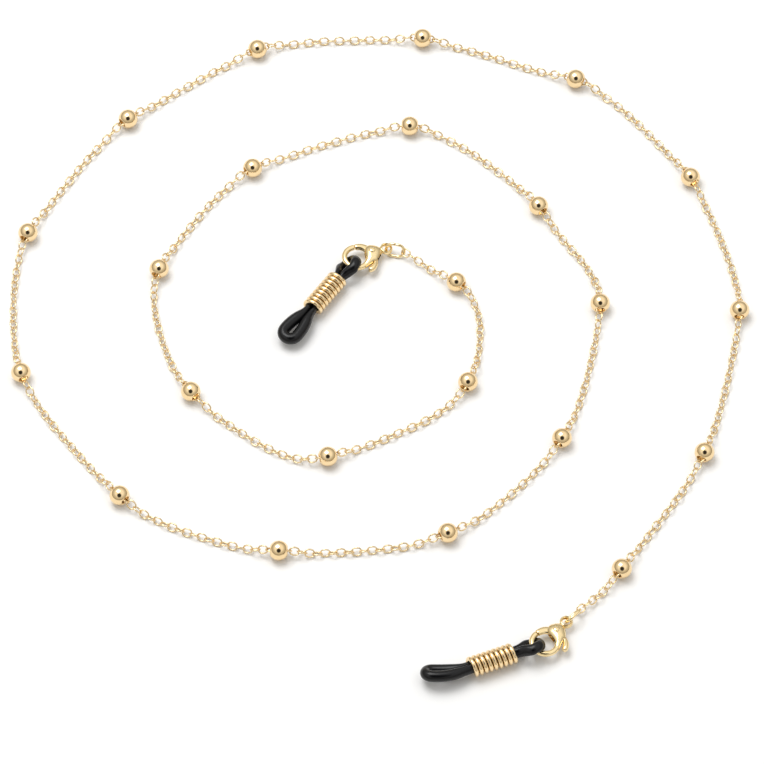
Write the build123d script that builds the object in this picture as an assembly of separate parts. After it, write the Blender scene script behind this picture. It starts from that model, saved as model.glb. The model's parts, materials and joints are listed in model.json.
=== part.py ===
from build123d import *
import os
from math import asin, ceil, cos, hypot, radians, sin, sqrt, tan

os.makedirs("parts", exist_ok=True)

# Eyeglasses chain strap. A cable chain carries hollow metal balls at equal counts of links, and ends
# on each side in a jump ring, a lobster clasp and a rubber grip that holds the tip of a temple arm.
# The strap lies in a loose spiral on the ground plane z = 0. All sizes are in millimetres.

ground_clearance = 0.02    # under everything but the balls, which carry the strap

# ---- Chain -----------------------------------------------------------------------------------------
link_length = 2.08         # outside length of one oval link
link_width = 1.66          # outside width of one oval link
link_wire = 0.30           # wire diameter of a link
link_lean = 45.0           # each link leans this far to one side, and its neighbour to the other
link_play = 0.02           # least slack between two hooked links
spans_per_length = 2       # ball spacings in one chain node

# ---- Balls -----------------------------------------------------------------------------------------
ball_diameter = 3.6
ball_wall = 0.3
ball_clearance = 0.09      # between the bore of a ball and the corners of the link inside it
ball_run = 11.0            # straight stretch of route that has a ball at its middle

# Each ball's middle on the ground plane and the way the chain passes through it, in degrees, from the
# outer end of the spiral to the inner end. Two and a quarter loose turns, as uneven as they were laid.
ball_places = [
    (42.8, -47.5, 56), (58.3, -23.5, 66), (65.8, 6.5, 84), (57.8, 36.5, 119),
    (36.8, 59.0, 161), (7.8, 68.5, 174), (-23.2, 66.0, 204), (-47.7, 49.5, 220),
    (-65.2, 24.0, 244), (-65.2, -7.0, 291), (-46.7, -32.5, 313), (-18.2, -44.0, 357),
    (11.8, -40.5, 24), (32.8, -20.5, 60), (40.3, 8.0, 86), (29.3, 30.0, 121),
    (5.3, 48.0, 179), (-23.7, 38.5, 211), (-40.7, 16.0, 248), (-34.2, -11.0, 310),
    (-9.2, -24.5, 19), (15.8, -9.0, 64), (13.8, 13.0, 145),
]
outer_tail = (35.0, -55.8)     # where the chain's outer end hooks onto its jump ring
inner_tail = (4.4, 19.8)       # and its inner end

# ---- Jump rings ------------------------------------------------------------------------------------
ring_length = 3.95
ring_width = 2.95
ring_wire = 0.55
ring_split = 0.08          # the butt joint that a jump ring is opened and closed at
ring_play = 0.06           # between the ring and the chain's last link

# ---- Lobster clasps, in their own plane: x from the eye to the far end of the hook, y to the tab ---
eye_outer = 2.4
eye_hole = 1.4
eye_thickness = 0.9
hook_centre = 5.9
hook_radius = 2.3          # of the hook wire's centre line
hook_wire = 1.1
hook_tip_angle = -104.0    # where the hook's wire starts, beside the lever
hook_root_angle = 110.0    # where it runs straight into the body
hook_root = 1.5            # length of that straight run
body_thickness = 2.2
slot_height = 0.92         # the slot between the body's two cheeks, in which the lever swings
pivot_x = 2.9
pin_diameter = 0.5
pin_clearance = 0.03       # between the lever's bore and the pin
lever_thickness = 0.8
lever_gap = 0.08           # between the lever's tip and the hook's tip when closed
gate_radius = 3.42         # from the pin to the lever's tip
tab_knob = 1.1
heel_under = 0.17          # the lever's heel, under which the spring sits, from the pin's middle
spring_wall = 0.95         # and the wall of the slot that the spring's other end rests on
spring_x = 2.0
spring_diameter = 0.56
spring_wire = 0.12
spring_turns = 4
spring_seat = 0.03         # between each end of the spring and what it presses on

# ---- Rubber grips, in their own frame: x from the hook's wire to the tip of the temple loop ---------
strand = 1.5               # diameter of the rubber where it loops round the hook
loop_strand = 2.0          # diameter of the rubber in the temple loop
neck_diameter = 2.5        # the two legs of rubber squeezed together inside the coil
leg_inset = 0.08           # of each leg's outside from the outside of the squeezed part
hook_clearance = 0.06      # between the rubber and the hook's wire
loop_play = 0.05           # extra slack of the small loop, behind the hook's wire
neck_start = 1.95
coil_start = 3.2
coil_length = 8.5
coil_wire = 0.76
coil_turns = 9
coil_clearance = 0.05      # between the coil and the squeezed rubber
neck_end_spare = 1.0       # rubber neck past the coil, on which the coil slides
loop_reach = 9.0           # from the end of the coil to the temple loop's outer tip

# The two ends differ only in how they lie. Headings are in degrees on the ground plane.
#   ring: from the clasp's eye to the chain     ring_roll: lean of the ring's plane about that line
#   clasp: from the eye to the hook's far end   grip: from the hook to the tip of the temple loop
#   loop_roll: lean of the temple loop's plane  loop_bend: sideways bend of the temple loop
#   loop_half: half the spread of the temple loop's two legs at its widest
ends = {
    "outer": dict(tail=outer_tail, ring=46, ring_roll=65, clasp=229, grip=201,
                  loop_roll=34, loop_bend=-20, loop_half=1.15),
    "inner": dict(tail=inner_tail, ring=-12, ring_roll=-60, clasp=203, grip=234,
                  loop_roll=0, loop_bend=0, loop_half=1.4),
}

# ---- Values worked out from those above ------------------------------------------------------------
ball_radius = ball_diameter / 2
ball_bore = link_width / 2 + ball_clearance
link_pitch = link_length - 2 * link_wire - link_play     # the widest spacing that the links allow
link_rest = (link_width - link_wire) / 2 * sin(radians(link_lean)) + link_wire / 2 + ground_clearance
ring_reach = ring_length - ring_wire
ring_inner = (ring_wire + link_wire) / 2 + ring_play
coil_inner = neck_diameter / 2 + coil_clearance
steepest = max(abs(sin(radians(end["ring_roll"]))) for end in ends.values())
eye_height = ground_clearance + ring_wire / 2 + (ring_width - ring_wire) / 2 * steepest
under_hook = strand + hook_clearance + hook_wire / 2
under_loop = max(abs(end["loop_half"] * sin(radians(end["loop_roll"]))) for end in ends.values())
grip_height = ground_clearance + max(under_hook, coil_inner + coil_wire, under_loop + loop_strand / 2)
coil_end = coil_start + coil_length
neck_end = coil_end + neck_end_spare
strand_spread = (hook_wire + strand) / 2 + hook_clearance


def heading(angle):
    """A level unit vector at an angle in degrees from +X."""
    return Vector(cos(radians(angle)), sin(radians(angle)), 0)


def group(shapes):
    """Several separate solids kept side by side in one node."""
    return Compound(children=list(shapes))


def rounded_line(corners, radii):
    """Straight runs from corner to corner, joined by tangent arcs, one radius for each inner corner."""
    corners = [Vector(corner) for corner in corners]
    edges, here = [], corners[0]
    for before, corner, after, radius in zip(corners, corners[1:], corners[2:], radii):
        into, out = (corner - before).normalized(), (after - corner).normalized()
        half_turn = radians(into.get_angle(out)) / 2
        cut = radius * tan(half_turn)
        middle = corner + (out - into).normalized() * (radius / cos(half_turn) - radius)
        start, end = corner - into * cut, corner + out * cut
        edges += [Line(here, start).edge(), ThreePointArc(start, middle, end).edge()]
        here = end
    return Wire(edges + [Line(here, corners[-1]).edge()])


# ---- The chain's route -----------------------------------------------------------------------------
def route_points():
    """The route's corners: the two tails, and two points for each ball, either side of it."""
    points = [Vector(*outer_tail)]
    for x, y, angle in ball_places:
        along = heading(angle) * (ball_run / 2)
        points += [Vector(x, y) - along, Vector(x, y) + along]
    return points + [Vector(*inner_tail)]


def corner_radii(points):
    """The largest tangent arc that each corner's two runs allow."""
    radii = []
    for before, corner, after in zip(points, points[1:], points[2:]):
        turn = radians((corner - before).get_angle(after - corner))
        shorter = min((corner - before).length, (after - corner).length)
        radii.append(0.45 * shorter / tan(turn / 2))
    return radii


points = route_points()
radii = corner_radii(points)
route = rounded_line(points, radii)
print("route length", round(route.length, 1), "smallest radius", round(min(radii), 1))


def ball_stations():
    """How far along the route each ball sits: the middle of every second run."""
    stations, travelled = [], 0.0
    cut_before = 0.0
    for i in range(len(points) - 1):
        run = (points[i + 1] - points[i]).length
        if i < len(radii):
            turn = radians((points[i + 1] - points[i]).get_angle(points[i + 2] - points[i + 1]))
            cut_after = radii[i] * tan(turn / 2)
            arc = radii[i] * turn
        else:
            cut_after = arc = 0.0
        if i % 2 == 1:
            stations.append(travelled + run / 2 - cut_before)
        travelled += run - cut_before - cut_after + arc
        cut_before = cut_after
    return stations


stations = ball_stations()
level_reach = link_pitch   # the chain stays level for one link each side of a ball or ring
fall_reach = 7.0           # and has come down to the ground this far from it


def chain_height(station):
    """Height of the chain's middle: carried by the balls and the rings, and on the ground between."""
    carriers = [(s, ball_radius) for s in stations] + [(0.0, eye_height), (route.length, eye_height)]
    gap, height = min((abs(station - s), h) for s, h in carriers)
    share = min(max((gap - level_reach) / (fall_reach - level_reach), 0.0), 1.0)
    return height + (link_rest - height) * share * share * (3 - 2 * share)


def climb(first, last):
    """Marks along a stretch of route, and the chain's true length from its start to each of them."""
    steps = 400
    marks = [first + (last - first) * i / steps for i in range(steps + 1)]
    heights = [chain_height(m) for m in marks]
    travel = [0.0]
    for i in range(steps):
        travel.append(travel[-1] + hypot(marks[i + 1] - marks[i], heights[i + 1] - heights[i]))
    return marks, travel


def links_in(first, last):
    """The fewest links that reach along a stretch of route."""
    return ceil(climb(first, last)[1][-1] / link_pitch)


def spread(first, last, count):
    """Stations of a run of links at equal true spacing, from first up to but without last."""
    marks, travel = climb(first, last)
    found, i = [], 0
    for n in range(count):
        target = travel[-1] * n / count
        while travel[i + 1] < target:
            i += 1
        share = (target - travel[i]) / (travel[i + 1] - travel[i])
        found.append(marks[i] + share * (marks[i + 1] - marks[i]))
    return found


def chain_stations():
    """Stations of all the links, as one list for each ball spacing and each tail.

    Each stretch has the fewest links that reach along it.
    """
    hooked = link_length / 2 - link_wire / 2 - ring_inner
    last_hooked = route.length - hooked
    marks = [hooked] + stations + [last_hooked]
    runs = [spread(first, last, links_in(first, last)) for first, last in zip(marks, marks[1:])]
    print("links in each stretch", [len(run) for run in runs])
    return runs[:-1] + [runs[-1] + [last_hooked]]


# ---- Links, balls and jump rings -------------------------------------------------------------------
def oval_ring(length, width, wire, split=0.0):
    """A ring of round wire, lying flat, longer along X than it is wide, closed or split in one side."""
    radius = (width - wire) / 2
    reach = (length - width) / 2
    line = Wire([
        Line((split / 2, radius), (reach, radius)).edge(),
        CenterArc((reach, 0), radius, 90, -180).edge(),
        Line((reach, -radius), (-reach, -radius)).edge(),
        CenterArc((-reach, 0), radius, -90, -180).edge(),
        Line((-reach, radius), (-split / 2, radius)).edge(),
    ])
    return sweep(Plane(origin=line @ 0, z_dir=line % 0) * Circle(wire / 2), path=line)


def make_link():
    return oval_ring(link_length, link_width, link_wire)


def link_frame(station, lean):
    """Where one link sits: X along the chain, and its flat side leaning about that."""
    here = route.position_at(station, position_mode=PositionMode.LENGTH)
    step = 0.2
    rise = chain_height(station + step) - chain_height(station - step)
    ahead = route.tangent_at(station, position_mode=PositionMode.LENGTH)
    along = Vector(ahead.X, ahead.Y, rise / (2 * step)).normalized()
    side = Vector(0, 0, 1).cross(along).normalized()
    up = along.cross(side)
    face = up * cos(radians(lean)) + side * sin(radians(lean))
    return Plane(origin=(here.X, here.Y, chain_height(station)), x_dir=along, z_dir=face).location


def make_ball():
    """A hollow ball with a bore along X that the chain passes through."""
    cavity = ball_radius - ball_wall
    outside, inside = sqrt(ball_radius**2 - ball_bore**2), sqrt(cavity**2 - ball_bore**2)
    wall = make_face([
        Line((-outside, ball_bore), (-inside, ball_bore)),
        ThreePointArc((-inside, ball_bore), (0, cavity), (inside, ball_bore)),
        Line((inside, ball_bore), (outside, ball_bore)),
        ThreePointArc((outside, ball_bore), (0, ball_radius), (-outside, ball_bore)),
    ])
    return revolve(wall, Axis.X)


def ball_frame(station):
    here = route.position_at(station, position_mode=PositionMode.LENGTH)
    along = route.tangent_at(station, position_mode=PositionMode.LENGTH)
    return Plane(origin=(here.X, here.Y, ball_radius), x_dir=along, z_dir=(0, 0, 1)).location


def make_jump_ring():
    """An oval ring with its butt joint in one long side. X runs from the eye's end to the chain's."""
    return oval_ring(ring_length, ring_width, ring_wire, ring_split)


# ---- Lobster clasp ---------------------------------------------------------------------------------
def disc(x, y, radius):
    return Location((x, y, 0)) * Circle(radius)


def strap(a, b):
    """A flat outline pulled tight round two discs."""
    return make_hull(a.edges() + b.edges())


def slab(outline, thickness):
    """An outline given a thickness, half above its plane and half below."""
    return extrude(outline, amount=thickness / 2, both=True)


def clasp_body():
    """Eye, body with two cheeks and a slot, and the fixed hook, cast as one piece."""
    flank = strap(disc(0.9, 0, 0.5), disc(2.9, -0.75, 1.0)) + strap(disc(0.9, 0, 0.5), disc(2.9, 0.75, 1.0))
    flank += strap(disc(2.9, 0.75, 1.0), disc(3.9, 1.7, 0.5)) + disc(2.9, 0, 1.2)
    flank += strap(disc(2.9, -0.75, 1.0), disc(3.5, -1.45, 0.45))
    cheeks = slab(flank, body_thickness)
    side_view = Plane.XZ * make_face(
        Polyline(
            (0, -eye_thickness / 2), (1.0, -eye_thickness / 2), (2.3, -body_thickness / 2),
            (3.9, -body_thickness / 2), (4.6, -hook_wire / 2), (4.6, hook_wire / 2),
            (3.9, body_thickness / 2), (2.3, body_thickness / 2), (1.0, eye_thickness / 2),
            (0, eye_thickness / 2), close=True,
        )
    )
    cheeks = cheeks & extrude(side_view, amount=5, both=True)
    root_turn = radians(hook_root_angle)
    root = Vector(hook_centre + hook_radius * cos(root_turn), hook_radius * sin(root_turn))
    into_body = Vector(-sin(root_turn), cos(root_turn)) * hook_root
    hook_line = Wire([
        CenterArc((hook_centre, 0), hook_radius, hook_tip_angle, hook_root_angle - hook_tip_angle).edge(),
        Line(root, root + into_body).edge(),
    ])
    hook = sweep(Plane(origin=hook_line @ 0, z_dir=hook_line % 0) * Circle(hook_wire / 2), path=hook_line)
    eye = Cylinder(eye_outer / 2, eye_thickness) - Cylinder(eye_hole / 2, eye_thickness)
    body = eye + (cheeks - Cylinder((eye_outer + eye_hole) / 4, body_thickness)) + hook
    slot = make_face(
        Polyline(
            (1.6, 0.55), (1.6, -spring_wall), (2.35, -spring_wall), (2.6, -2.6), (5.0, -2.6),
            (5.0, 0.9), (3.55, 1.2), (3.55, 3.0), (1.2, 3.0), close=True,
        )
    )
    body -= slab(slot, slot_height)
    swing = Cylinder(gate_radius + lever_gap, body_thickness)
    tip_side = Location((pivot_x, 0, 0)) * (swing & (Location((3, -3, 0)) * Box(4.5, 4.0, body_thickness)))
    body -= tip_side - Location((pivot_x, 0, 0)) * Cylinder(2.0, body_thickness)
    return body - Location((pivot_x, 0, 0)) * Cylinder(pin_diameter / 2, body_thickness)


def clasp_lever():
    """The sprung gate: an arm that closes the hook, a heel for the spring and a tab for the thumb."""
    hub = disc(pivot_x, 0, 0.62)
    gate = strap(hub, disc(4.1, -1.72, 0.42)) + strap(disc(4.1, -1.72, 0.42), disc(5.7, -2.3, 0.42))
    heel_tip = spring_x - spring_diameter / 2
    heel = make_face(
        Polyline(
            (heel_tip, -heel_under), (pivot_x, -heel_under), (pivot_x, 0.3), (heel_tip, 0.2), close=True,
        )
    )
    tab = strap(hub, disc(2.85, 2.35, 0.34)) + strap(disc(2.85, 2.35, 0.34), disc(4.1, 3.3, 0.34))
    arm = slab(gate, lever_thickness)
    arm &= Location((pivot_x, 0, 0)) * Cylinder(gate_radius, lever_thickness)
    knob = Location((4.1, 3.3, 0)) * Cylinder(tab_knob / 2, 1.2 * tab_knob)
    lever = arm + slab(heel + tab, lever_thickness) + knob
    return lever - Location((pivot_x, 0, 0)) * Cylinder(pin_diameter / 2 + pin_clearance, lever_thickness)


def lever_pin():
    return Location((pivot_x, 0, 0)) * Cylinder(pin_diameter / 2, body_thickness)


def lever_spring():
    """A short coil spring between the lever's heel and the side wall of the body."""
    reach = spring_wall - heel_under - spring_wire - 2 * spring_seat
    line = Helix(reach / spring_turns, reach, (spring_diameter - spring_wire) / 2)
    coil = sweep(Plane(origin=line @ 0, z_dir=line % 0) * Circle(spring_wire / 2), path=line, is_frenet=True)
    return Location((spring_x, -heel_under - spring_seat - spring_wire / 2, 0), (90, 0, 0)) * coil


# ---- Rubber grip and coil --------------------------------------------------------------------------
def tube(corners, radii, diameter):
    """A rubber leg along rounded straight runs."""
    line = rounded_line(corners, radii)
    return sweep(Plane(origin=line @ 0, z_dir=line % 0) * Circle(diameter / 2), path=line)


def hook_loop():
    """The small loop that passes over and under the hook's wire, as two halves that meet inside it."""
    inside = (neck_diameter - strand) / 2 - leg_inset
    back = -(strand_spread + loop_play)
    corners = [
        (neck_start + 1.0, 0, inside), (neck_start, 0, inside), (0.5, 0, strand_spread),
        (back, 0, strand_spread), (back, 0, 0),
    ]
    over = tube(corners, [0.9, 0.9, strand_spread * 0.999], strand)
    return over + mirror(over, about=Plane.XY)


def temple_loop(end):
    """The large loop that grips a temple arm: two legs that part, run along and meet in a round tip."""
    inside = (neck_diameter - loop_strand) / 2 - leg_inset
    half = end["loop_half"]
    tip = loop_reach - neck_end_spare - loop_strand / 2
    corners = [(0, inside), (1.2, inside + 0.1), (0.55 * tip, half), (tip, 0.92 * half), (tip, 0)]
    leg = tube(corners, [1.0, 2.0, 0.9 * half], loop_strand)
    return Rotation(end["loop_roll"], 0, 0) * (leg + mirror(leg, about=Plane.XZ))


def rubber_grip(end):
    """The whole grip. Its temple loop bends sideways at the end of the neck, which is round there."""
    neck = Location((neck_start, 0, 0), (0, 90, 0)) * Cylinder(
        neck_diameter / 2, neck_end - neck_start, align=(Align.CENTER, Align.CENTER, Align.MIN)
    )
    bend = Location((neck_end, 0, 0), (0, 0, end["loop_bend"]))
    return neck + hook_loop() + bend * Sphere(neck_diameter / 2) + bend * temple_loop(end)


def grip_coil():
    """The close-wound wire coil that squeezes the two legs of the rubber together."""
    rise = coil_length - coil_wire
    line = Helix(rise / coil_turns, rise, coil_inner + coil_wire / 2)
    coil = sweep(Plane(origin=line @ 0, z_dir=line % 0) * Circle(coil_wire / 2), path=line, is_frenet=True)
    return Location((coil_start + coil_wire / 2, 0, 0), (0, 90, 0)) * coil


# ---- Placing one end -------------------------------------------------------------------------------
def end_frames(end):
    """The frames of the ring, the clasp and the grip, from how the end lies."""
    ring_along = heading(end["ring"])
    tail = Vector(*end["tail"], eye_height)
    eye = tail - ring_along * ring_reach
    side = Vector(0, 0, 1).cross(ring_along)
    lean = radians(end["ring_roll"])
    face = Vector(0, 0, 1) * cos(lean) + side * sin(lean)
    ring = Plane(origin=(eye + tail) / 2, x_dir=ring_along, z_dir=face)
    crossing_angle = radians(end["grip"] - end["clasp"])
    crossing_x = hook_centre + hook_radius * cos(crossing_angle)
    pitch = asin((grip_height - eye_height) / crossing_x)
    clasp_along = heading(end["clasp"]) * cos(pitch) + Vector(0, 0, sin(pitch))
    clasp_side = Vector(0, 0, 1).cross(clasp_along).normalized()
    clasp = Plane(origin=eye, x_dir=clasp_along, z_dir=clasp_along.cross(clasp_side))
    crossing = clasp.from_local_coords(Vector(crossing_x, hook_radius * sin(crossing_angle), 0))
    grip = Plane(origin=crossing, x_dir=heading(end["grip"]), z_dir=(0, 0, 1))
    return ring, clasp, grip


# ---- Build -----------------------------------------------------------------------------------------
nodes = {}
link = make_link()
ball = make_ball()

runs = chain_stations()
count = 0
lengths = [runs[i : i + spans_per_length] for i in range(0, len(runs), spans_per_length)]
for n, spans in enumerate(lengths, start=1):
    links = []
    for station in [s for span in spans for s in span]:
        lean = link_lean if count % 2 else -link_lean
        links.append(link_frame(station, lean) * link)
        count += 1
    nodes[f"chain_length_{n:02d}"] = group(links)
print("links", count)

for n, station in enumerate(stations, start=1):
    nodes[f"ball_{n:02d}"] = ball_frame(station) * ball

for name, end in ends.items():
    ring, clasp, grip = end_frames(end)
    nodes[f"{name}_jump_ring"] = ring.location * make_jump_ring()
    nodes[f"{name}_clasp_body"] = clasp.location * clasp_body()
    nodes[f"{name}_clasp_lever"] = clasp.location * clasp_lever()
    nodes[f"{name}_lever_pin"] = clasp.location * lever_pin()
    nodes[f"{name}_lever_spring"] = clasp.location * lever_spring()
    nodes[f"{name}_rubber_grip"] = grip.location * rubber_grip(end)
    nodes[f"{name}_grip_coil"] = grip.location * grip_coil()
    for label, frame in (("ring", ring), ("clasp", clasp), ("grip", grip)):
        spot, along = frame.origin, frame.x_dir
        print(name, label, [round(v, 4) for v in spot], [round(v, 4) for v in along])

for name, shape in nodes.items():
    export_step(shape, f"parts/{name}.step")
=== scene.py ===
import bmesh
import bpy
import json
from math import asin, atan2, ceil, cos, degrees, hypot, pi, radians, sin
from mathutils import Matrix, Vector


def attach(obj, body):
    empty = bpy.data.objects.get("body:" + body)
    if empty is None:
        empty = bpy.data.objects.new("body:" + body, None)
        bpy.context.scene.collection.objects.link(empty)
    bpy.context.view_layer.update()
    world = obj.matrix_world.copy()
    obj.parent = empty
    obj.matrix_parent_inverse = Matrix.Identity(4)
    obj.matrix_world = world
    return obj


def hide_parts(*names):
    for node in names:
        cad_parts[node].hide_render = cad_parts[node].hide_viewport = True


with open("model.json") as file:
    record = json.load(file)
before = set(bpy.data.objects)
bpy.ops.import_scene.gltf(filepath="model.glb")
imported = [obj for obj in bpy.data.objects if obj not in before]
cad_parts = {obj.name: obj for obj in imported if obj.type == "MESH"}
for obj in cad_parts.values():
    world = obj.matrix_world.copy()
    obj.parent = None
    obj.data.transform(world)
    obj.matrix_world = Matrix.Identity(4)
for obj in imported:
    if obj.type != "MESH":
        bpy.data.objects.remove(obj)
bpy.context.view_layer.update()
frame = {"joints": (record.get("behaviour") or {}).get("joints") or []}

# ---- Camera ----------------------------------------------------------------------------------------
# A long lens on a stand at the near side of the table, looking down at the middle of the spiral.
look_at = Vector((0.0003, -0.0077, 0.0))
camera_rise = radians(58)
camera_away = 0.8
camera = bpy.data.objects.new("camera", bpy.data.cameras.new("camera"))
bpy.context.scene.collection.objects.link(camera)
bpy.context.scene.camera = camera
camera.location = look_at + camera_away * Vector((0, -cos(camera_rise), sin(camera_rise)))
camera.rotation_euler = (pi / 2 - camera_rise, 0, 0)
camera.data.sensor_width = 36
camera.data.lens = 207.3
camera.data.clip_start = 0.01
camera.data.clip_end = 10

# ---- Chain -----------------------------------------------------------------------------------------
# Fine cable chain: soldered ovals of drawn brass wire, plated pale gold. It lies on its edges, so each
# link leans the other way from its neighbours. It passes through every ball and hooks to both rings.
chain_tails = [(0.0350, -0.0558), (0.0044, 0.0198)]
ball_places = [
    (0.0428, -0.0475, 56), (0.0583, -0.0235, 66), (0.0658, 0.0065, 84), (0.0578, 0.0365, 119),
    (0.0368, 0.0590, 161), (0.0078, 0.0685, 174), (-0.0232, 0.0660, 204), (-0.0477, 0.0495, 220),
    (-0.0652, 0.0240, 244), (-0.0652, -0.0070, 291), (-0.0467, -0.0325, 313), (-0.0182, -0.0440, 357),
    (0.0118, -0.0405, 24), (0.0328, -0.0205, 60), (0.0403, 0.0080, 86), (0.0293, 0.0300, 121),
    (0.0053, 0.0480, 179), (-0.0237, 0.0385, 211), (-0.0407, 0.0160, 248), (-0.0342, -0.0110, 310),
    (-0.0092, -0.0245, 19), (0.0158, -0.0090, 64), (0.0138, 0.0130, 145),
]
ball_run = 0.011
ball_radius = 0.0018
link_length, link_width, link_wire, link_play = 0.00208, 0.00166, 0.00030, 0.00002
link_pitch = link_length - 2 * link_wire - link_play
link_lean, lean_spread = radians(45), radians(16)
ground_clearance = 0.00002
ring_wire = 0.00055
ring_play = 0.00006
ring_height = frame["joints"][0]["pos_m"][2]
link_rest = (link_width - link_wire) / 2 * sin(link_lean) + link_wire / 2 + ground_clearance


def lay_route():
    """The chain's line on the table: a smooth spline, straight where it passes through each ball."""
    corners = [Vector((*chain_tails[0], 0))]
    for x, y, heading in ball_places:
        along = Vector((cos(radians(heading)), sin(radians(heading)), 0)) * (ball_run / 2)
        corners += [Vector((x, y, 0)) - along, Vector((x, y, 0)) + along]
    corners.append(Vector((*chain_tails[1], 0)))
    curve = bpy.data.curves.new("chain_route", "CURVE")
    curve.dimensions = "3D"
    curve.resolution_u = 24
    spline = curve.splines.new("NURBS")
    spline.points.add(len(corners) - 1)
    for point, corner in zip(spline.points, corners):
        point.co = (*corner, 1)
    spline.order_u = 3
    spline.use_endpoint_u = True
    carrier = bpy.data.objects.new("chain_route", curve)
    bpy.context.scene.collection.objects.link(carrier)
    bpy.context.view_layer.update()
    line = bpy.data.meshes.new_from_object(carrier)
    found = [v.co.copy() for v in line.vertices]
    bpy.data.objects.remove(carrier)
    bpy.data.meshes.remove(line)
    return found


route = lay_route()
travel = [0.0]
for here, ahead in zip(route, route[1:]):
    travel.append(travel[-1] + (ahead - here).length)
route_length = travel[-1]


def on_route(station):
    """The point of the route at a distance from its outer end, and the way it runs there."""
    low, high = 0, len(travel) - 2
    while low < high:
        middle = (low + high + 1) // 2
        if travel[middle] <= station:
            low = middle
        else:
            high = middle - 1
    run = route[low + 1] - route[low]
    return route[low] + run * ((station - travel[low]) / run.length), run.normalized()


def station_near(x, y):
    return travel[min(range(len(route)), key=lambda i: (route[i] - Vector((x, y, 0))).length)]


ball_stations = [station_near(x, y) for x, y, heading in ball_places]
level_reach, fall_reach = link_pitch, 0.0070


def chain_height(station):
    """The chain is carried at the height of each ball and ring, and comes down to the table between."""
    carriers = [(s, ball_radius) for s in ball_stations]
    carriers += [(0.0, ring_height), (route_length, ring_height)]
    gap, height = min((abs(station - s), h) for s, h in carriers)
    share = min(max((gap - level_reach) / (fall_reach - level_reach), 0.0), 1.0)
    return height + (link_rest - height) * share * share * (3 - 2 * share)


def climb(first, last):
    """Marks along a stretch of route, and the chain's true length from its start to each of them."""
    steps = 300
    marks = [first + (last - first) * i / steps for i in range(steps + 1)]
    heights = [chain_height(mark) for mark in marks]
    climbed = [0.0]
    for i in range(steps):
        climbed.append(climbed[-1] + hypot(marks[i + 1] - marks[i], heights[i + 1] - heights[i]))
    return marks, climbed


def links_in(first, last):
    """The fewest links that reach along a stretch of route."""
    return ceil(climb(first, last)[1][-1] / link_pitch)


def spread_links(first, last, count):
    """Stations of a run of links, evenly spaced along the chain as it rises and falls."""
    marks, climbed = climb(first, last)
    found, i = [], 0
    for n in range(count):
        target = climbed[-1] * n / count
        while climbed[i + 1] < target:
            i += 1
        share = (target - climbed[i]) / (climbed[i + 1] - climbed[i])
        found.append(marks[i] + share * (marks[i + 1] - marks[i]))
    return found


def wire_oval(length, width, wire, sides, steps, split=0.0):
    """A round wire bent into a flat oval, closed, or left open at a butt joint in one long side."""
    radius, reach = (width - wire) / 2, (length - width) / 2
    bm = bmesh.new()
    start = Matrix.Translation((split / 2, radius, 0)) @ Matrix.Rotation(pi / 2, 4, "Y")
    first = bmesh.ops.create_circle(bm, segments=sides, radius=wire / 2, matrix=start)["verts"]
    ring = list({e for v in first for e in v.link_edges})
    opening = list(ring)

    def draw_out(edges, distance):
        moved = bmesh.ops.extrude_edge_only(bm, edges=edges)["geom"]
        verts = [g for g in moved if isinstance(g, bmesh.types.BMVert)]
        bmesh.ops.translate(bm, verts=verts, vec=(distance, 0, 0))
        return [g for g in moved if isinstance(g, bmesh.types.BMEdge)]

    def bend_round(edges, x):
        geometry = edges + list({v for e in edges for v in e.verts})
        turned = bmesh.ops.spin(bm, geom=geometry, cent=(x, 0, 0), axis=(0, 0, -1), angle=pi, steps=steps)
        return [g for g in turned["geom_last"] if isinstance(g, bmesh.types.BMEdge)]

    ring = draw_out(ring, reach - split / 2)
    ring = bend_round(ring, reach)
    ring = draw_out(ring, -2 * reach)
    ring = bend_round(ring, -reach)
    if split:
        ring = draw_out(ring, reach - split / 2)
        for end in (opening, ring):
            bmesh.ops.contextual_create(bm, geom=end)
    else:
        ring = draw_out(ring, reach)
        bmesh.ops.remove_doubles(bm, verts=bm.verts, dist=wire / 100)
    bmesh.ops.recalc_face_normals(bm, faces=bm.faces)
    return bm


def finish_piece(name, bm, material):
    """Closes a bmesh into a named, smooth piece with its finish on it."""
    mesh = bpy.data.meshes.new(name)
    bm.to_mesh(mesh)
    bm.free()
    mesh.materials.append(material)
    mesh.shade_smooth()
    piece = bpy.data.objects.new(name, mesh)
    bpy.context.scene.collection.objects.link(piece)
    return piece


def input_socket(tree, name, kind, value):
    socket = tree.interface.new_socket(name=name, in_out="INPUT", socket_type=kind)
    socket.default_value = value


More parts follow.
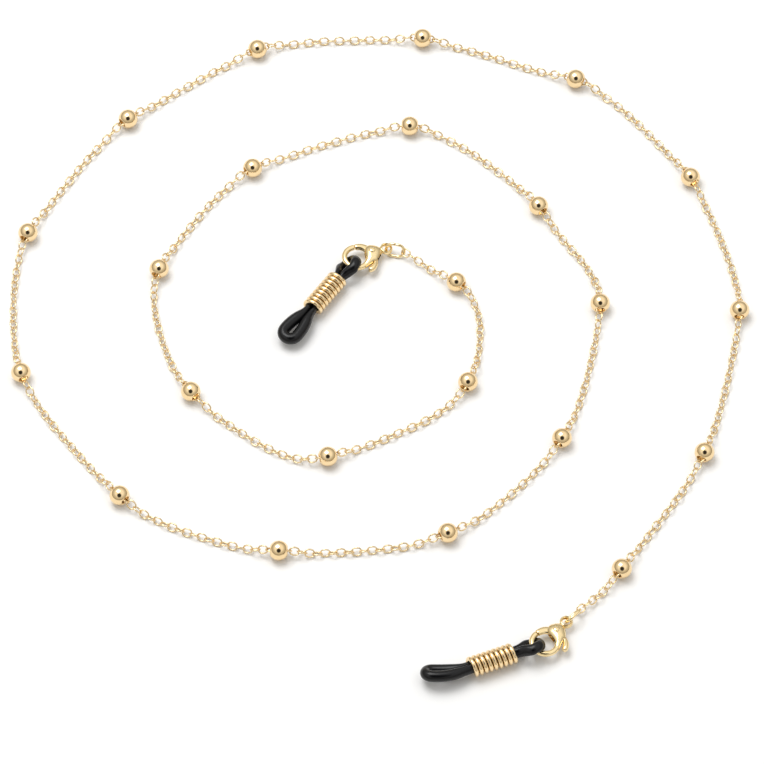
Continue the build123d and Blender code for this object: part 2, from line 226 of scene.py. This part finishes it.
def gold_plate_group():
    """Plated and tumbled metal: a tone that drifts, hazy and bright patches, and hair-fine scuffs."""
    tree = bpy.data.node_groups.new("gold_plate", "ShaderNodeTree")
    input_socket(tree, "Tone", "NodeSocketColor", (0.8, 0.6, 0.35, 1))
    input_socket(tree, "Deep Tone", "NodeSocketColor", (0.6, 0.4, 0.2, 1))
    input_socket(tree, "Drift Scale", "NodeSocketFloat", 900.0)
    input_socket(tree, "Scuff Scale", "NodeSocketFloat", 9000.0)
    input_socket(tree, "Polish", "NodeSocketFloat", 0.16)
    input_socket(tree, "Haze", "NodeSocketFloat", 0.14)
    input_socket(tree, "Relief", "NodeSocketFloat", 0.15)
    tree.interface.new_socket(name="Color", in_out="OUTPUT", socket_type="NodeSocketColor")
    tree.interface.new_socket(name="Roughness", in_out="OUTPUT", socket_type="NodeSocketFloat")
    tree.interface.new_socket(name="Normal", in_out="OUTPUT", socket_type="NodeSocketVector")
    nodes, links = tree.nodes, tree.links
    given, out = nodes.new("NodeGroupInput"), nodes.new("NodeGroupOutput")
    place = nodes.new("ShaderNodeTexCoord")
    drift = nodes.new("ShaderNodeTexNoise")
    drift.inputs["Detail"].default_value = 3
    links.new(place.outputs["Object"], drift.inputs["Vector"])
    links.new(given.outputs["Drift Scale"], drift.inputs["Scale"])
    scuff = nodes.new("ShaderNodeTexNoise")
    scuff.inputs["Detail"].default_value = 6
    scuff.inputs["Roughness"].default_value = 0.7
    links.new(place.outputs["Object"], scuff.inputs["Vector"])
    links.new(given.outputs["Scuff Scale"], scuff.inputs["Scale"])
    tone = nodes.new("ShaderNodeMix")
    tone.data_type = "RGBA"
    links.new(drift.outputs["Fac"], tone.inputs["Factor"])
    links.new(given.outputs["Deep Tone"], tone.inputs[6])
    links.new(given.outputs["Tone"], tone.inputs[7])
    links.new(tone.outputs[2], out.inputs["Color"])
    haze = nodes.new("ShaderNodeMath")
    haze.operation = "MULTIPLY_ADD"
    links.new(scuff.outputs["Fac"], haze.inputs[0])
    links.new(given.outputs["Haze"], haze.inputs[1])
    links.new(given.outputs["Polish"], haze.inputs[2])
    links.new(haze.outputs[0], out.inputs["Roughness"])
    relief = nodes.new("ShaderNodeBump")
    relief.inputs["Distance"].default_value = 0.00003
    links.new(given.outputs["Relief"], relief.inputs["Strength"])
    links.new(scuff.outputs["Fac"], relief.inputs["Height"])
    links.new(relief.outputs["Normal"], out.inputs["Normal"])
    return tree


gold_plate = gold_plate_group()


def gold_finish(name, tone, deep_tone, drift=900.0, scuff=9000.0, polish=0.16, haze=0.14, relief=0.15):
    """A gold-plated metal with its own tones, polish and scuffs."""
    material = bpy.data.materials.new(name)
    material.use_nodes = True
    nodes, links = material.node_tree.nodes, material.node_tree.links
    shader = nodes["Principled BSDF"]
    shader.inputs["Metallic"].default_value = 1.0
    plate = nodes.new("ShaderNodeGroup")
    plate.node_tree = gold_plate
    plate.inputs["Tone"].default_value = (*tone, 1)
    plate.inputs["Deep Tone"].default_value = (*deep_tone, 1)
    plate.inputs["Drift Scale"].default_value = drift
    plate.inputs["Scuff Scale"].default_value = scuff
    plate.inputs["Polish"].default_value = polish
    plate.inputs["Haze"].default_value = haze
    plate.inputs["Relief"].default_value = relief
    links.new(plate.outputs["Color"], shader.inputs["Base Color"])
    links.new(plate.outputs["Roughness"], shader.inputs["Roughness"])
    links.new(plate.outputs["Normal"], shader.inputs["Normal"])
    return material


chain_gold = gold_finish("chain_gold", (0.93, 0.75, 0.47), (0.85, 0.64, 0.36), polish=0.14, haze=0.12)

hooked = link_length / 2 - link_wire / 2 - ((ring_wire + link_wire) / 2 + ring_play)
last_hooked = route_length - hooked
marks = [hooked] + ball_stations + [last_hooked]
link_stations = []
for first, last in zip(marks, marks[1:]):
    link_stations += spread_links(first, last, links_in(first, last))
link_stations.append(last_hooked)

link_sides, link_steps = 6, 5
link_form = wire_oval(link_length, link_width, link_wire, link_sides, link_steps)
link_mesh = bpy.data.meshes.new("link_form")
link_form.to_mesh(link_mesh)
link_form.free()
strung = bmesh.new()
step = 0.0002
for count, station in enumerate(link_stations):
    here, along = on_route(station)
    # The two sines don't repeat together, so no two stretches of chain lean quite alike.
    lean = link_lean + lean_spread * sin(1.7 * count) * sin(0.61 * count + 1)
    link_foot = (link_width - link_wire) / 2 * sin(lean) + link_wire / 2 + ground_clearance
    here.z = max(chain_height(station), link_foot)
    along.z = (chain_height(station + step) - chain_height(station - step)) / (2 * step)
    along.normalize()
    side = Vector((0, 0, 1)).cross(along).normalized()
    up = along.cross(side)
    lean = lean if count % 2 else -lean
    face = up * cos(lean) + side * sin(lean)
    seat = Matrix((along, face.cross(along), face)).transposed().to_4x4()
    before = len(strung.verts)
    strung.from_mesh(link_mesh)
    strung.verts.ensure_lookup_table()
    bmesh.ops.transform(strung, matrix=Matrix.Translation(here) @ seat, verts=strung.verts[before:])
cable_chain = finish_piece("cable_chain", strung, chain_gold)
bpy.data.meshes.remove(link_mesh)
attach(cable_chain, "chain")
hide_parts(*(f"chain_length_{n:02d}" for n in range(1, 13)))

# ---- Balls -----------------------------------------------------------------------------------------
# Hollow brass balls, pressed from two cups, bored for the chain, plated and polished bright. The
# edge of each bore is rolled a little inwards, and each is fixed to the link at its middle.
ball_wall, ball_bore, rim_round = 0.00030, 0.00092, 0.00008
ball_gold = gold_finish(
    "ball_gold", (0.93, 0.73, 0.44), (0.87, 0.64, 0.35), drift=500, scuff=14000, polish=0.07, haze=0.08,
    relief=0.06,
)


def hollow_ball():
    """One ball at the origin, bored along X."""
    bm = bmesh.new()
    opening = asin(ball_bore / ball_radius)
    rim_place = (ball_radius * cos(opening), 0, ball_radius * sin(opening))
    edge = bmesh.ops.create_vert(bm, co=rim_place)["vert"]
    bmesh.ops.spin(bm, geom=edge, cent=(0, 0, 0), axis=(0, -1, 0), angle=pi - 2 * opening, steps=20)
    profile = list(bm.verts) + list(bm.edges)
    bmesh.ops.spin(
        bm, geom=profile, cent=(0, 0, 0), axis=(1, 0, 0), angle=2 * pi, steps=40, use_merge=True
    )
    bmesh.ops.remove_doubles(bm, verts=bm.verts, dist=1e-7)
    bmesh.ops.recalc_face_normals(bm, faces=bm.faces)
    bmesh.ops.solidify(bm, geom=list(bm.faces), thickness=ball_wall)
    rims = [e for e in bm.edges if e.is_manifold and e.calc_face_angle() > radians(40)]
    bmesh.ops.bevel(bm, geom=rims, affect="EDGES", offset=rim_round, segments=3, profile=0.5, material=-1)
    bmesh.ops.recalc_face_normals(bm, faces=bm.faces)
    return bm


for n, station in enumerate(ball_stations, start=1):
    here, along = on_route(station)
    here.z = ball_radius
    bm = hollow_ball()
    heading = along.to_track_quat("X", "Z").to_matrix().to_4x4()
    seat = Matrix.Translation(here) @ heading @ Matrix.Rotation(0.9 * n, 4, "X")
    bmesh.ops.transform(bm, verts=bm.verts, matrix=seat)
    ball = finish_piece(f"gold_ball_{n:02d}", bm, ball_gold)
    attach(ball, "chain")
    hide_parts(f"ball_{n:02d}")

# ---- Jump rings ------------------------------------------------------------------------------------
# Each end's oval ring of round brass wire, cut from a coil and closed by hand: its butt joint is a
# fine line in one long side. It holds the chain's last link and the eye of the clasp.
ring_length, ring_width, ring_split, burr_round = 0.00395, 0.00295, 0.00008, 0.00003
ring_roll = {"outer": radians(65), "inner": radians(-60)}
clasp_gold = gold_finish(
    "clasp_gold", (0.94, 0.76, 0.44), (0.88, 0.68, 0.36), drift=600, scuff=12000, polish=0.10, haze=0.10,
    relief=0.10,
)
joints = {joint["name"]: joint for joint in frame["joints"]}


def joint_place(name):
    return Vector(joints[name]["pos_m"])


def joint_axis(name):
    return Vector(joints[name]["axis"]).normalized()


def stand_at(piece, origin, along, face):
    """Puts a piece made at the origin in its place: its X along, its Z out of its face."""
    turned = Matrix((along, face.cross(along), face)).transposed().to_4x4()
    piece.data.transform(Matrix.Translation(origin) @ turned)


for end in ("outer", "inner"):
    tail, eye = joint_place(f"{end}_ring_swing"), joint_place(f"{end}_clasp_swing")
    along = (tail - eye).normalized()
    side = Vector((0, 0, 1)).cross(along)
    face = Vector((0, 0, 1)) * cos(ring_roll[end]) + side * sin(ring_roll[end])
    bm = wire_oval(ring_length, ring_width, ring_wire, 20, 24, ring_split)
    cut_edges = [e for e in bm.edges if e.is_manifold and e.calc_face_angle() > radians(50)]
    bmesh.ops.bevel(
        bm, geom=cut_edges, affect="EDGES", offset=burr_round, segments=2, profile=0.5, material=-1
    )
    ring = finish_piece(f"{end}_ring", bm, clasp_gold)
    stand_at(ring, (tail + eye) / 2, along, face)
    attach(ring, f"{end}_ring")
    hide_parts(f"{end}_jump_ring")

# ---- Clasp bodies ----------------------------------------------------------------------------------
# Cast brass: an eye, a domed body with two cheeks and the lever's slot between them, and the hook that
# runs on round from it. Tumbled, plated, and bright on its edges. X runs from the eye to the hook.
eye_outer, eye_hole, eye_thickness = 0.0024, 0.0014, 0.0009
hook_centre, hook_radius, hook_wire = 0.0059, 0.0023, 0.0011
hook_root, hook_tip = 110, -98
slot_height = 0.00092
# Along the body: place, heading in degrees, half the width across and half the thickness, in mm.
body_sections = [
    (0.85, 0.00, 0, 0.36, 0.34), (1.25, 0.00, 0, 0.86, 0.62), (1.80, 0.03, 2, 1.42, 0.92),
    (2.40, 0.08, 5, 1.86, 1.06), (2.95, 0.20, 9, 2.08, 1.12), (3.42, 0.46, 20, 1.96, 1.10),
    (3.72, 1.18, 36, 1.22, 1.02), (4.12, 1.58, 40, 0.84, 0.86), (4.58, 1.91, 33, 0.64, 0.68),
]
slot_outline = [
    (1.60, 0.55), (1.60, -0.95), (2.35, -0.95), (2.60, -2.60), (5.00, -2.60), (5.00, 0.90),
    (3.60, 1.20), (3.60, 3.40), (1.20, 3.40),
]


def add_section(bm, place, in_way, up_way, half_in, half_up, sides):
    """A ring of edges with the given middle, the ways that its two half widths point, and their sizes."""
    ahead = in_way.cross(up_way)
    frame_of_ring = Matrix((in_way * half_in, up_way * half_up, ahead)).transposed().to_4x4()
    place_of_ring = Matrix.Translation(place) @ frame_of_ring
    verts = bmesh.ops.create_circle(bm, segments=sides, radius=1, matrix=place_of_ring)["verts"]
    return list({e for v in verts for e in v.link_edges})


def join_sections(bm, rings, closed=False):
    """Skins a row of rings, and closes its two ends."""
    for ring_before, ring_after in zip(rings, rings[1:] + rings[:1] if closed else rings[1:]):
        bmesh.ops.bridge_loops(bm, edges=ring_before + ring_after)
    if not closed:
        for ring_end in (rings[0], rings[-1]):
            bmesh.ops.contextual_create(bm, geom=ring_end)
    bmesh.ops.recalc_face_normals(bm, faces=bm.faces)


def flat_sections(bm, sections, sides):
    """Rings for a piece that lies in the clasp's plane, from rows of millimetres and degrees."""
    rings = []
    for x, y, angle, half_width, half_thickness in sections:
        in_way = Vector((sin(radians(angle)), -cos(radians(angle)), 0))
        rings.append(add_section(
            bm, Vector((x, y, 0)) / 1000, in_way, Vector((0, 0, 1)), half_width / 1000,
            half_thickness / 1000, sides,
        ))
    return rings


def settle(piece):
    """Applies a piece's modifiers to its mesh."""
    graph = bpy.context.evaluated_depsgraph_get()
    graph.update()
    made = bpy.data.meshes.new_from_object(piece.evaluated_get(graph))
    piece.modifiers.clear()
    before, piece.data = piece.data, made
    bpy.data.meshes.remove(before)


def round_off(piece):
    """Smooths a piece that was skinned over a few sections."""
    surface = piece.modifiers.new("surface", "SUBSURF")
    surface.levels = surface.render_levels = 2
    settle(piece)


def cut_or_add(piece, tool, operation):
    """Cuts a tool's shape out of a piece, or melts it in, and clears the tool away."""
    joined = piece.modifiers.new("joined", "BOOLEAN")
    joined.operation, joined.object, joined.solver = operation, tool, "EXACT"
    settle(piece)
    bpy.data.meshes.remove(tool.data)


def shade_edges(piece, angle=35):
    """Smooth shading that breaks at edges sharper than an angle in degrees."""
    piece.data.shade_smooth()
    piece.data.set_sharp_from_angle(angle=radians(angle))


def slot_tool():
    """A plate as thick as the slot, with the slot's outline."""
    bm = bmesh.new()
    outline = []
    for x, y in slot_outline:
        outline += bmesh.ops.create_vert(bm, co=(x / 1000, y / 1000, -slot_height / 2))["vert"]
    plate = bmesh.ops.contextual_create(bm, geom=outline)["faces"]
    raised = bmesh.ops.extrude_face_region(bm, geom=plate)["geom"]
    top = [g for g in raised if isinstance(g, bmesh.types.BMVert)]
    bmesh.ops.translate(bm, verts=top, vec=(0, 0, slot_height))
    bmesh.ops.recalc_face_normals(bm, faces=bm.faces)
    return finish_piece("slot_tool", bm, clasp_gold)


def eye_tool():
    """The eye: a rounded ring, thicker than it is wide."""
    bm = bmesh.new()
    wall, middle = (eye_outer - eye_hole) / 4, (eye_outer + eye_hole) / 4
    ring_edges = add_section(
        bm, Vector((middle, 0, 0)), Vector((1, 0, 0)), Vector((0, 0, 1)), wall, eye_thickness / 2, 16
    )
    geometry = ring_edges + list(bm.verts)
    bmesh.ops.spin(bm, geom=geometry, cent=(0, 0, 0), axis=(0, 0, 1), angle=2 * pi, steps=48, use_merge=True)
    bmesh.ops.remove_doubles(bm, verts=bm.verts, dist=1e-8)
    bmesh.ops.recalc_face_normals(bm, faces=bm.faces)
    return finish_piece("eye_tool", bm, clasp_gold)


def clasp_body():
    """The body in its own frame: the sections up to the hook's root, then the hook's arc."""
    sections = list(body_sections)
    steps = 16
    for i in range(steps + 1):
        angle = hook_root + (hook_tip - hook_root) * i / steps
        x, y = hook_centre + hook_radius * cos(radians(angle)), hook_radius * sin(radians(angle))
        sections.append((x * 1000, y * 1000, angle - 90, hook_wire * 500, hook_wire * 500))
    x, y, angle, half_width, half_thickness = sections[-1]
    sections.append((x - 0.06, y + 0.01, angle, 0.86 * half_width, 0.86 * half_thickness))
    bm = bmesh.new()
    join_sections(bm, flat_sections(bm, sections, 14))
    body = finish_piece("clasp_body", bm, clasp_gold)
    round_off(body)
    cut_or_add(body, eye_tool(), "UNION")
    cut_or_add(body, slot_tool(), "DIFFERENCE")
    shade_edges(body)
    return body


def clasp_seat(end):
    """Where a clasp is: its eye, the way to its hook, and the way its face looks."""
    eye, pivot = joint_place(f"{end}_clasp_swing"), joint_place(f"{end}_lever_turn")
    along = (pivot - eye).normalized()
    face = joint_axis(f"{end}_lever_turn")
    return eye, along, face


for end in ("outer", "inner"):
    body = clasp_body()
    body.name = f"{end}_claw"
    stand_at(body, *clasp_seat(end))
    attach(body, f"{end}_clasp")
    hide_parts(f"{end}_clasp_body")

# ---- Clasp levers ----------------------------------------------------------------------------------
# The sprung gate, cast in brass like the body: an arm that closes the hook, a boss on the pin, and a
# tab with a round end for the thumb.
# Along the lever: place, half the width across and half the thickness, in mm.
gate_rows = [
    (5.44, -2.22, 0.44, 0.40), (5.36, -2.22, 0.60, 0.52), (4.95, -2.16, 0.66, 0.56),
    (4.50, -2.02, 0.70, 0.56), (4.05, -1.76, 0.76, 0.52), (3.65, -1.36, 0.80, 0.44),
    (3.25, -0.80, 0.76, 0.40), (2.90, 0.00, 0.70, 0.40), (2.84, 0.75, 0.58, 0.40),
    (2.86, 1.40, 0.52, 0.40), (2.98, 2.00, 0.50, 0.42), (3.24, 2.52, 0.52, 0.50),
    (3.64, 2.96, 0.58, 0.58), (4.14, 3.28, 0.60, 0.62), (4.64, 3.46, 0.54, 0.58),
    (4.98, 3.56, 0.36, 0.42),
]


def clasp_lever():
    """The lever in the clasp's frame. Each section faces the way from the one before to the one after."""
    rows = []
    for i, (x, y, half_width, half_thickness) in enumerate(gate_rows):
        before, after = gate_rows[max(i - 1, 0)], gate_rows[min(i + 1, len(gate_rows) - 1)]
        angle = degrees(atan2(after[1] - before[1], after[0] - before[0]))
        rows.append((x, y, angle, half_width, half_thickness))
    bm = bmesh.new()
    join_sections(bm, flat_sections(bm, rows, 12))
    lever = finish_piece("clasp_lever", bm, clasp_gold)
    round_off(lever)
    shade_edges(lever)
    return lever


for end in ("outer", "inner"):
    lever = clasp_lever()
    lever.name = f"{end}_gate"
    stand_at(lever, *clasp_seat(end))
    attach(lever, f"{end}_lever")
    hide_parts(f"{end}_clasp_lever")

# ---- Lever pins and springs ------------------------------------------------------------------------
# A brass rivet through the cheeks and the lever, its two heads peened to low domes, and a coil spring
# of steel wire between the lever's heel and the slot's wall.
pin_radius, pin_head, pin_head_rise, pin_reach = 0.00025, 0.00058, 0.00016, 0.00106
spring_radius, spring_wire, spring_turns = 0.00022, 0.00012, 4
spring_x, spring_top, spring_foot = 0.0020, -0.00026, -0.00086
spring_steel = gold_finish("spring_steel", (0.62, 0.62, 0.61), (0.46, 0.46, 0.47), scuff=20000, polish=0.24)


def lever_pin():
    """The pin along Z at the origin, its two heads alike."""
    bm = bmesh.new()
    dome = [(0, -1), (0.6, -0.9), (1, -0.3), (1, 0)]
    head = [(pin_head * across, -pin_reach + pin_head_rise * up) for across, up in dome]
    rows = head + [(pin_radius, -pin_reach), (pin_radius, pin_reach)]
    rows += [(across, -height) for across, height in reversed(head)]
    verts = [bmesh.ops.create_vert(bm, co=(across, 0, height))["vert"][0] for across, height in rows]
    edges = [bmesh.ops.contextual_create(bm, geom=pair)["edges"][0] for pair in zip(verts, verts[1:])]
    bmesh.ops.spin(
        bm, geom=verts + edges, cent=(0, 0, 0), axis=(0, 0, 1), angle=2 * pi, steps=32, use_merge=True
    )
    bmesh.ops.remove_doubles(bm, verts=bm.verts, dist=1e-8)
    bmesh.ops.recalc_face_normals(bm, faces=bm.faces)
    return finish_piece("lever_pin", bm, clasp_gold)


def wire_coil(bm, radius, wire, turns, rise, sides, steps_per_turn):
    """Round wire wound about X, starting at the origin's side, its two cut ends a little rounded."""
    start = Matrix.Translation((0, radius, 0))
    verts = bmesh.ops.create_circle(bm, segments=sides, radius=wire / 2, matrix=start)["verts"]
    edges = list({e for v in verts for e in v.link_edges})
    steps = round(turns * steps_per_turn)
    moved = bmesh.ops.spin(
        bm, geom=verts + edges, cent=(0, 0, 0), axis=(1, 0, 0), angle=turns * 2 * pi, steps=steps,
        dvec=(rise / steps, 0, 0),
    )["geom_last"]
    last = [g for g in moved if isinstance(g, bmesh.types.BMEdge)]
    caps = []
    for ring_end in (edges, last):
        caps += bmesh.ops.contextual_create(bm, geom=ring_end)["faces"]
    rims = list({e for f in caps for e in f.edges})
    bmesh.ops.bevel(
        bm, geom=rims, affect="EDGES", offset=wire * 0.2, segments=3, profile=0.5, material=-1
    )
    bmesh.ops.recalc_face_normals(bm, faces=bm.faces)


for end in ("outer", "inner"):
    eye, along, face = clasp_seat(end)
    pin = lever_pin()
    pin.name = f"{end}_pin"
    stand_at(pin, joint_place(f"{end}_lever_turn"), along, face)
    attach(pin, f"{end}_clasp")
    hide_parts(f"{end}_lever_pin")
    bm = bmesh.new()
    wire_coil(bm, spring_radius, spring_wire, spring_turns, spring_foot - spring_top, 8, 20)
    bmesh.ops.rotate(bm, verts=bm.verts, cent=(0, 0, 0), matrix=Matrix.Rotation(pi / 2, 3, "Z"))
    bmesh.ops.translate(bm, verts=bm.verts, vec=(spring_x, spring_top, 0))
    spring = finish_piece(f"{end}_spring", bm, spring_steel)
    stand_at(spring, eye, along, face)
    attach(spring, f"{end}_clasp")
    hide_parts(f"{end}_lever_spring")

# ---- Rubber grips ----------------------------------------------------------------------------------
# One closed loop of moulded black rubber cord. Its small end passes round the clasp's hook, its two
# legs are squeezed together inside the coil, and its large end stretches over a temple arm.
neck_offset, neck_half_in, neck_half_out = 0.00055, 0.00054, 0.00094
hook_strand_in, hook_strand_out = 0.00080, 0.00104
hook_bend = 0.00141
hook_sideways = 0.80
neck_start, neck_end = 0.0024, 0.0130
twist_start, twist_end = 0.0, 0.0036
loop_reach = 0.0077
grips = {
    "outer": {"loop_roll": 34, "bend": -24, "half": 0.00118, "leg": 0.00104},
    "inner": {"loop_roll": 0, "bend": 0, "half": 0.00138, "leg": 0.00112},
}


def rubber_finish():
    """Moulded black rubber: satin, with dust-fine speckle and rubbed patches."""
    material = bpy.data.materials.new("black_rubber")
    material.use_nodes = True
    nodes, links = material.node_tree.nodes, material.node_tree.links
    shader = nodes["Principled BSDF"]
    shader.inputs["Specular IOR Level"].default_value = 0.30
    place = nodes.new("ShaderNodeTexCoord")
    speckle = nodes.new("ShaderNodeTexNoise")
    speckle.inputs["Scale"].default_value = 7000
    speckle.inputs["Detail"].default_value = 4
    links.new(place.outputs["Object"], speckle.inputs["Vector"])
    rubbed = nodes.new("ShaderNodeTexNoise")
    rubbed.inputs["Scale"].default_value = 500
    rubbed.inputs["Detail"].default_value = 3
    links.new(place.outputs["Object"], rubbed.inputs["Vector"])
    tone = nodes.new("ShaderNodeValToRGB")
    tone.color_ramp.elements[0].position = 0.3
    tone.color_ramp.elements[0].color = (0.0012, 0.0012, 0.0016, 1)
    tone.color_ramp.elements[1].position = 0.75
    tone.color_ramp.elements[1].color = (0.0042, 0.0042, 0.0052, 1)
    links.new(speckle.outputs["Fac"], tone.inputs["Fac"])
    links.new(tone.outputs["Color"], shader.inputs["Base Color"])
    sheen = nodes.new("ShaderNodeMapRange")
    sheen.inputs["To Min"].default_value = 0.16
    sheen.inputs["To Max"].default_value = 0.32
    links.new(rubbed.outputs["Fac"], sheen.inputs["Value"])
    links.new(sheen.outputs["Result"], shader.inputs["Roughness"])
    relief = nodes.new("ShaderNodeBump")
    relief.inputs["Strength"].default_value = 0.25
    relief.inputs["Distance"].default_value = 0.00003
    links.new(speckle.outputs["Fac"], relief.inputs["Height"])
    links.new(relief.outputs["Normal"], shader.inputs["Normal"])
    return material


black_rubber = rubber_finish()


def grip_leg(grip):
    """One leg of the rubber, from the hook's end to the temple loop's tip, as rows of metres and degrees.

    Each row is the distance along the grip, the distance out from its middle, the way the cord runs,
    and half its thickness in the loop's plane and across it.
    """
    rows = []
    for angle in (90, 67, 45, 22, 0):
        out = radians(90 - angle)
        place = (-0.00005 - hook_bend * cos(out), hook_bend * sin(out))
        rows.append((*place, angle, hook_strand_in, hook_strand_out))
    rows.append((0.00060, 0.00136, -10, hook_strand_in, hook_strand_out))
    rows.append((0.00135, 0.00112, -22, 0.00080, hook_strand_out))
    rows.append((0.00215, neck_offset + 0.00024, -18, 0.00070, hook_strand_out))
    for share in (0.08, 0.18, 0.34, 0.54, 0.74, 0.92):
        reach = neck_start + share * (neck_end - neck_start)
        rows.append((reach, neck_offset, 0, neck_half_in, neck_half_out))
    half, leg = grip["half"], grip["leg"]
    middle = neck_end + loop_reach - leg - half
    rows.append((neck_end + 0.0003, neck_offset + 0.00006, 6, 0.00074, neck_half_out))
    rows.append((neck_end + 0.0013, neck_offset + 0.35 * (half - neck_offset), 12, 0.92 * leg, leg))
    rows.append((neck_end + 0.0026, neck_offset + 0.75 * (half - neck_offset), 9, leg, leg))
    rows.append((neck_end + 0.0042, half, 2, leg, leg))
    for angle in (0, 22, 45, 67, 90):
        out = radians(angle)
        rows.append((middle + half * sin(out), half * cos(out), -angle, leg, leg))
    return rows


def rubber_grip(grip):
    """The whole loop at the origin, its X from the hook to the temple loop's tip."""
    leg = grip_leg(grip)
    rows = [(1, row) for row in leg] + [(-1, row) for row in reversed(leg[1:-1])]
    bm = bmesh.new()
    rings = []
    bend_start, bend_length = neck_end - 0.0008, 0.0060
    sideways_end = 0.0006
    for sign, (reach, out, angle, half_in, half_out) in rows:
        share = min(max((reach - twist_start) / (twist_end - twist_start), 0.0), 1.0)
        twist = radians(90 + (grip["loop_roll"] - 90) * share)
        past = max(reach - bend_start, 0.0)
        curved = min(past, bend_length)
        bend = radians(grip["bend"]) * curved / bend_length
        ahead, level = Vector((cos(bend), sin(bend), 0)), Vector((-sin(bend), cos(bend), 0))
        spine = Vector((min(reach, bend_start), 0, 0)) + ahead * (past - curved)
        spine += Vector((cos(bend / 2), sin(bend / 2), 0)) * curved
        outward = level * cos(twist) + Vector((0, 0, sin(twist)))
        by_hook = min(max((neck_start - reach) / (neck_start - sideways_end), 0.0), 1.0)
        sideways = hook_sideways * by_hook
        apart = outward + level * sideways
        run = (ahead * cos(radians(angle)) + apart * (sign * sin(radians(angle)))).normalized() * sign
        across = ahead.cross(outward)
        across = (across - run * across.dot(run)).normalized()
        middle = spine + apart * (sign * out)
        rings.append(add_section(bm, middle, across.cross(run), across, half_in, half_out, 16))
    join_sections(bm, rings, closed=True)
    rubber = finish_piece("rubber_grip", bm, black_rubber)
    round_off(rubber)
    shade_edges(rubber, 60)
    return rubber


for end, grip in grips.items():
    rubber = rubber_grip(grip)
    rubber.name = f"{end}_rubber"
    stand_at(rubber, joint_place(f"{end}_grip_swing"), joint_axis(f"{end}_coil_slide"), Vector((0, 0, 1)))
    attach(rubber, f"{end}_grip")
    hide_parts(f"{end}_rubber_grip")

# ---- Grip coils ------------------------------------------------------------------------------------
# Nine close turns of hard brass wire, wound on a mandrel and plated. It squeezes the rubber's legs and
# is slid along them to tighten the temple loop.
coil_inner, coil_wire, coil_turns, coil_start, coil_length = 0.00112, 0.00080, 9, 0.0031, 0.0090
coil_gold = gold_finish(
    "coil_gold", (0.94, 0.74, 0.45), (0.87, 0.65, 0.36), drift=800, scuff=11000, polish=0.12, haze=0.12,
    relief=0.12,
)
for end in ("outer", "inner"):
    bm = bmesh.new()
    wire_coil(bm, coil_inner + coil_wire / 2, coil_wire, coil_turns, coil_length - coil_wire, 14, 40)
    ends_down = Matrix.Rotation(-pi / 2 - 0.5, 3, "X")
    bmesh.ops.rotate(bm, verts=bm.verts, cent=(0, 0, 0), matrix=ends_down)
    bmesh.ops.translate(bm, verts=bm.verts, vec=(coil_start + coil_wire / 2, 0, 0))
    coil = finish_piece(f"{end}_coil", bm, coil_gold)
    stand_at(coil, joint_place(f"{end}_grip_swing"), joint_axis(f"{end}_coil_slide"), Vector((0, 0, 1)))
    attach(coil, f"{end}_coil")
    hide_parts(f"{end}_grip_coil")

# ---- Table and light -------------------------------------------------------------------------------
# A plain white table in a light tent: bright overhead, dimmer towards its foot, with a dark opening
# on the camera's side. One soft lamp above gives the faint shadows.
table = bpy.data.materials.new("white_table")
table.use_nodes = True
table_shader = table.node_tree.nodes["Principled BSDF"]
table_shader.inputs["Base Color"].default_value = (0.93, 0.93, 0.93, 1)
table_shader.inputs["Roughness"].default_value = 0.9
bm = bmesh.new()
bmesh.ops.create_grid(bm, x_segments=2, y_segments=2, size=3.0)
table_top = finish_piece("table_top", bm, table)


def soft_lamp(name, place, size, watts):
    """A square soft box aimed at the middle of the table."""
    lamp = bpy.data.lights.new(name, "AREA")
    lamp.size = size
    lamp.energy = watts
    holder = bpy.data.objects.new(name, lamp)
    holder.location = place
    holder.rotation_euler = Vector(place).to_track_quat("Z", "Y").to_euler()
    bpy.context.scene.collection.objects.link(holder)


def light_tent():
    """The tent's brightness by height above the table, with the dark opening for the camera."""
    world = bpy.data.worlds.new("light_tent")
    world.use_nodes = True
    nodes, links = world.node_tree.nodes, world.node_tree.links
    way = nodes.new("ShaderNodeTexCoord")
    parts = nodes.new("ShaderNodeSeparateXYZ")
    links.new(way.outputs["Generated"], parts.inputs["Vector"])
    height = nodes.new("ShaderNodeValToRGB")
    height.color_ramp.interpolation = "EASE"
    steps = height.color_ramp.elements
    steps[0].position, steps[0].color = 0.0, (0.34, 0.31, 0.27, 1)
    steps[1].position, steps[1].color = 0.80, (1.10, 1.10, 1.09, 1)
    middle = steps.new(0.35)
    middle.color = (0.62, 0.60, 0.56, 1)
    links.new(parts.outputs["Z"], height.inputs["Fac"])
    towards = nodes.new("ShaderNodeVectorMath")
    towards.operation = "DOT_PRODUCT"
    towards.inputs[1].default_value = (0, -cos(camera_rise), sin(camera_rise))
    links.new(way.outputs["Generated"], towards.inputs[0])
    opening = nodes.new("ShaderNodeMapRange")
    opening.interpolation_type = "SMOOTHSTEP"
    opening.inputs["From Min"].default_value = cos(radians(29))
    opening.inputs["From Max"].default_value = cos(radians(19))
    opening.inputs["To Min"].default_value = 1.0
    opening.inputs["To Max"].default_value = 0.03
    links.new(towards.outputs["Value"], opening.inputs["Value"])
    links.new(height.outputs["Color"], nodes["Background"].inputs["Color"])
    links.new(opening.outputs["Result"], nodes["Background"].inputs["Strength"])
    return world


soft_lamp("overhead_lamp", (-0.22, 0.26, 0.85), 0.50, 4.1)
bpy.context.scene.world = light_tent()
bpy.context.scene.view_settings.view_transform = "Standard"
